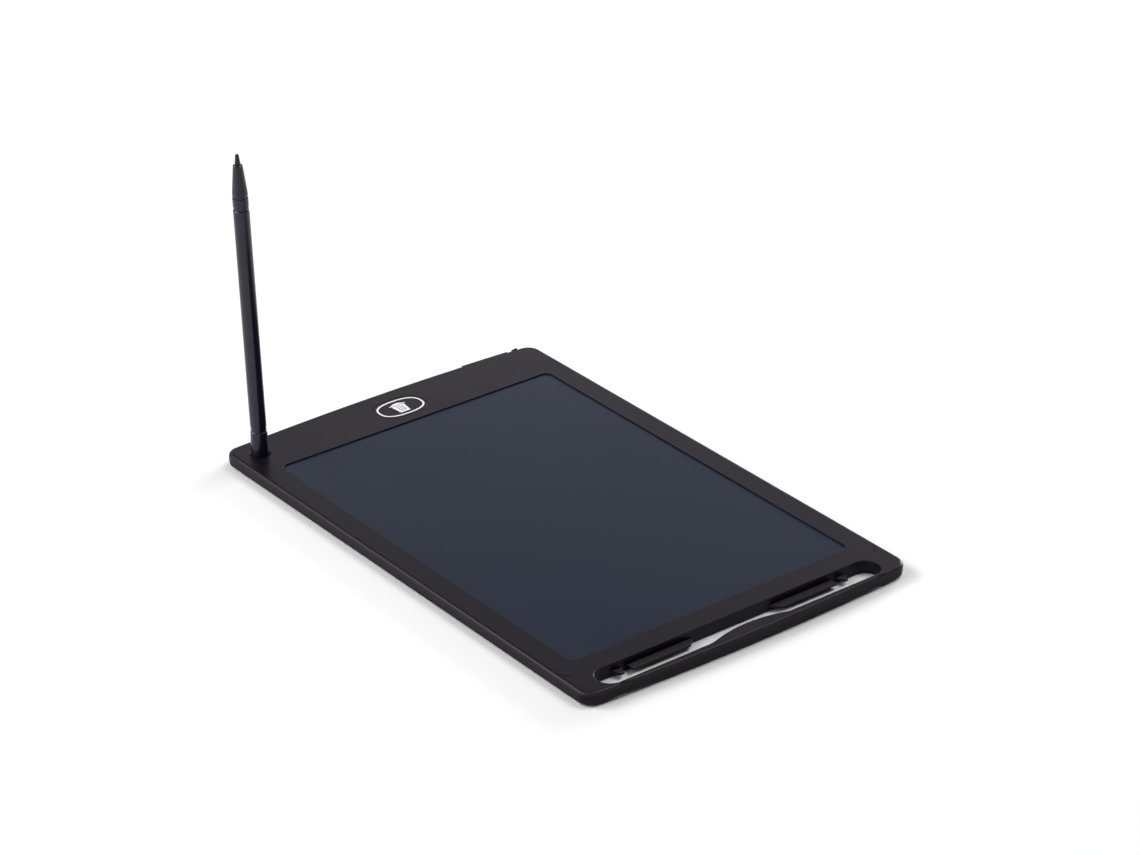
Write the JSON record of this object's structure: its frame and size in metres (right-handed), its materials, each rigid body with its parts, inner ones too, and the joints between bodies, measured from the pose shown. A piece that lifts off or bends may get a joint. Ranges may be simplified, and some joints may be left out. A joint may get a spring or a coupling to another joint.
{
  "type": "lcd writing tablet",
  "caption": "Thin writing tablet with a pressure-sensitive display, an erase button, a stylus stood in a corner socket, a stowing slot with clips, and a slide-out coin cell tray.",
  "frame": {"origin": "middle of the footprint on the surface that the feet stand on", "axes": "+X to the right across the tablet, +Y up its length towards the erase button, +Z out of the writing surface"},
  "size_m": [0.145, 0.225, 0.1271],
  "materials": {
    "bezel_plastic": "fine matte texture, charcoal",
    "rear_plastic": "fine matte texture, near black",
    "button_plastic": "fine matte, charcoal, with a white printed ring and symbol",
    "tray_plastic": "satin, near black",
    "clear_film": "satin anti-glare film over a slate blue panel",
    "lcd_film": "smooth film, dark slate blue",
    "backing_film": "matte black paint on film",
    "stiffener": "flat sheet, grey",
    "adhesive": "black double-sided tape",
    "flex_film": "amber film with copper tracks",
    "board_green": "green solder mask over fibreglass",
    "chip_black": "moulded, dull",
    "ceramic_parts": "small ceramic parts with tinned ends",
    "switch_metal": "tinned sheet",
    "switch_plunger": "moulded, satin",
    "screw_steel": "black zinc plated steel",
    "cell_steel": "bright nickel plated",
    "contact_metal": "nickel plated spring strip",
    "foot_rubber": "soft, dull black",
    "stylus_plastic": "satin, near black",
    "nib_plastic": "worn smooth, dark grey"
  },
  "bodies": {
    "case": {"front_bezel": "bezel_plastic", "rear_cover": "rear_plastic", "adhesive_frame": "adhesive", "cover_film": "clear_film", "writing_panel": "lcd_film", "backing_film": "backing_film", "support_plate": "stiffener", "flex_tail": "flex_film", "circuit_board": "board_green", "board_screws": "screw_steel", "driver_chip": "chip_black", "board_parts": "ceramic_parts", "tact_switch": "switch_metal", "contact_positive": "contact_metal", "contact_negative": "contact_metal", "case_screws": "screw_steel", "rubber_feet": "foot_rubber"},
    "erase_key": {"erase_button": "button_plastic", "switch_plunger": "switch_plunger"},
    "battery_drawer": {"battery_tray": "tray_plastic", "coin_cell": "cell_steel"},
    "latch": {"tray_latch": "tray_plastic"},
    "stylus": {"stylus_tail": "stylus_plastic", "stylus_barrel": "stylus_plastic", "stylus_collar": "stylus_plastic", "stylus_cone": "stylus_plastic", "stylus_nib": "nib_plastic"}
  },
  "joints": [
    {"name": "erase_press", "type": "slide", "parent": "case", "child": "erase_key", "axis": [0, 0, -1], "range_m": [0, 0.00025], "stiffness_N_per_m": 1500, "springref_m": -0.0002},
    {"name": "tray_slide", "type": "slide", "parent": "case", "child": "battery_drawer", "axis": [0, 1, 0], "range_m": [0, 0.022]},
    {"name": "latch_slide", "type": "slide", "parent": "case", "child": "latch", "axis": [-1, 0, 0], "range_m": [0, 0.0015]},
    {"name": "stylus_lift", "type": "slide", "parent": "case", "child": "stylus", "axis": [-0.0207, 0.016, 0.9997], "range_m": [0, 0.04]}
  ]
}
